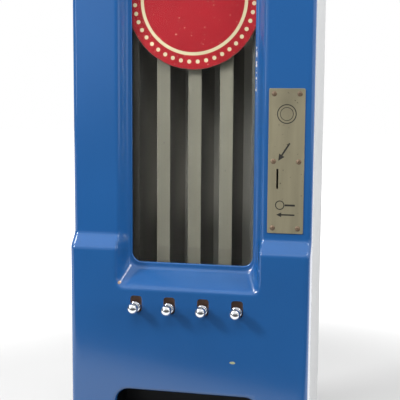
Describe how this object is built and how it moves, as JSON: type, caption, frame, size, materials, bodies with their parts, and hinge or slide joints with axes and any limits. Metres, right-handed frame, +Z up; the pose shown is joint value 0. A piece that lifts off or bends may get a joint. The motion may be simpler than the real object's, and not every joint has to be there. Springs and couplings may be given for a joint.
{
  "type": "gum vending machine",
  "caption": "Upright gum vending machine with a tilting pressed front, a window over the gum columns, a coin slot, pull plungers and a delivery opening below.",
  "frame": {"origin": "middle of the underside of the base", "axes": "+X to the right seen from the front, +Y to the back, +Z up"},
  "size_m": [0.246, 0.1454, 0.628],
  "materials": {
    "blue_enamel": "gloss baked enamel, a little chipped at the edges",
    "grey_paint": "satin light grey paint",
    "window_glass": "clear window glass",
    "red_enamel": "printed tin, red with a cream ring, worn",
    "zinc_sheet": "dull plated sheet",
    "nickel_plate": "aged nickel silver",
    "copper": "tarnished copper",
    "chrome": "polished chrome",
    "steel": "plain bright steel",
    "brass": "plain brass",
    "spring_steel": "drawn spring wire",
    "black_paint": "black stove paint"
  },
  "bodies": {
    "root": {"case_shell": "grey_paint", "back_pan": "grey_paint", "hinge_rod": "steel", "hinge_brackets": "steel", "column_back": "zinc_sheet", "column_end_left": "zinc_sheet", "column_divider_1": "zinc_sheet", "column_divider_2": "zinc_sheet", "column_divider_3": "zinc_sheet", "column_end_right": "zinc_sheet", "magazine_spacers": "steel", "shelf": "zinc_sheet", "plunger_bushes": "brass", "mechanism_side_left": "zinc_sheet", "mechanism_side_right": "zinc_sheet", "coin_chute": "zinc_sheet", "coin_chute_cover": "zinc_sheet", "cash_box": "zinc_sheet", "delivery_chute": "black_paint", "delivery_tray": "black_paint", "return_spring_1": "spring_steel", "return_spring_2": "spring_steel", "return_spring_3": "spring_steel", "return_spring_4": "spring_steel"},
    "cover": {"front_cover": "blue_enamel", "window_glass": "window_glass", "sign_disc": "red_enamel", "glass_channel_left": "zinc_sheet", "glass_channel_right": "zinc_sheet", "glass_channel_foot": "zinc_sheet", "coin_plate": "nickel_plate", "coin_plate_screws": "copper", "lock_barrel": "chrome", "lock_nut": "chrome", "lock_cam_screw": "steel", "hinge_lugs": "steel"},
    "lock": {"lock_cam": "steel"},
    "trip": {"trip_shaft": "steel", "trip_pawls": "brass", "coin_lever": "brass"},
    "plunger_1": {"plunger_rod_1": "steel", "knob_1": "chrome", "ejector_slide_1": "brass"},
    "plunger_2": {"plunger_rod_2": "steel", "knob_2": "chrome", "ejector_slide_2": "brass"},
    "plunger_3": {"plunger_rod_3": "steel", "knob_3": "chrome", "ejector_slide_3": "brass"},
    "plunger_4": {"plunger_rod_4": "steel", "knob_4": "chrome", "ejector_slide_4": "brass"}
  },
  "joints": [
    {"name": "cover_tilt", "type": "hinge", "parent": "root", "child": "cover", "pos_m": [0, -0.058, 0.007], "axis": [1, 0, 0], "range_deg": [0, 60]},
    {"name": "lock_turn", "type": "hinge", "parent": "cover", "child": "lock", "pos_m": [0, -0.0297, 0.605], "axis": [0, 1, 0], "range_deg": [0, 90]},
    {"name": "trip_turn", "type": "hinge", "parent": "root", "child": "trip", "pos_m": [0, 0.018, 0.1655], "axis": [1, 0, 0], "range_deg": [0, 12]},
    {"name": "plunger_1_pull", "type": "slide", "parent": "root", "child": "plunger_1", "axis": [0, -1, 0], "range_m": [0, 0.032], "stiffness_N_per_m": 60, "springref_m": -0.02, "deforming": ["return_spring_1"]},
    {"name": "plunger_2_pull", "type": "slide", "parent": "root", "child": "plunger_2", "axis": [0, -1, 0], "range_m": [0, 0.032], "stiffness_N_per_m": 60, "springref_m": -0.02, "deforming": ["return_spring_2"]},
    {"name": "plunger_3_pull", "type": "slide", "parent": "root", "child": "plunger_3", "axis": [0, -1, 0], "range_m": [0, 0.032], "stiffness_N_per_m": 60, "springref_m": -0.02, "deforming": ["return_spring_3"]},
    {"name": "plunger_4_pull", "type": "slide", "parent": "root", "child": "plunger_4", "axis": [0, -1, 0], "range_m": [0, 0.032], "stiffness_N_per_m": 60, "springref_m": -0.02, "deforming": ["return_spring_4"]}
  ]
}
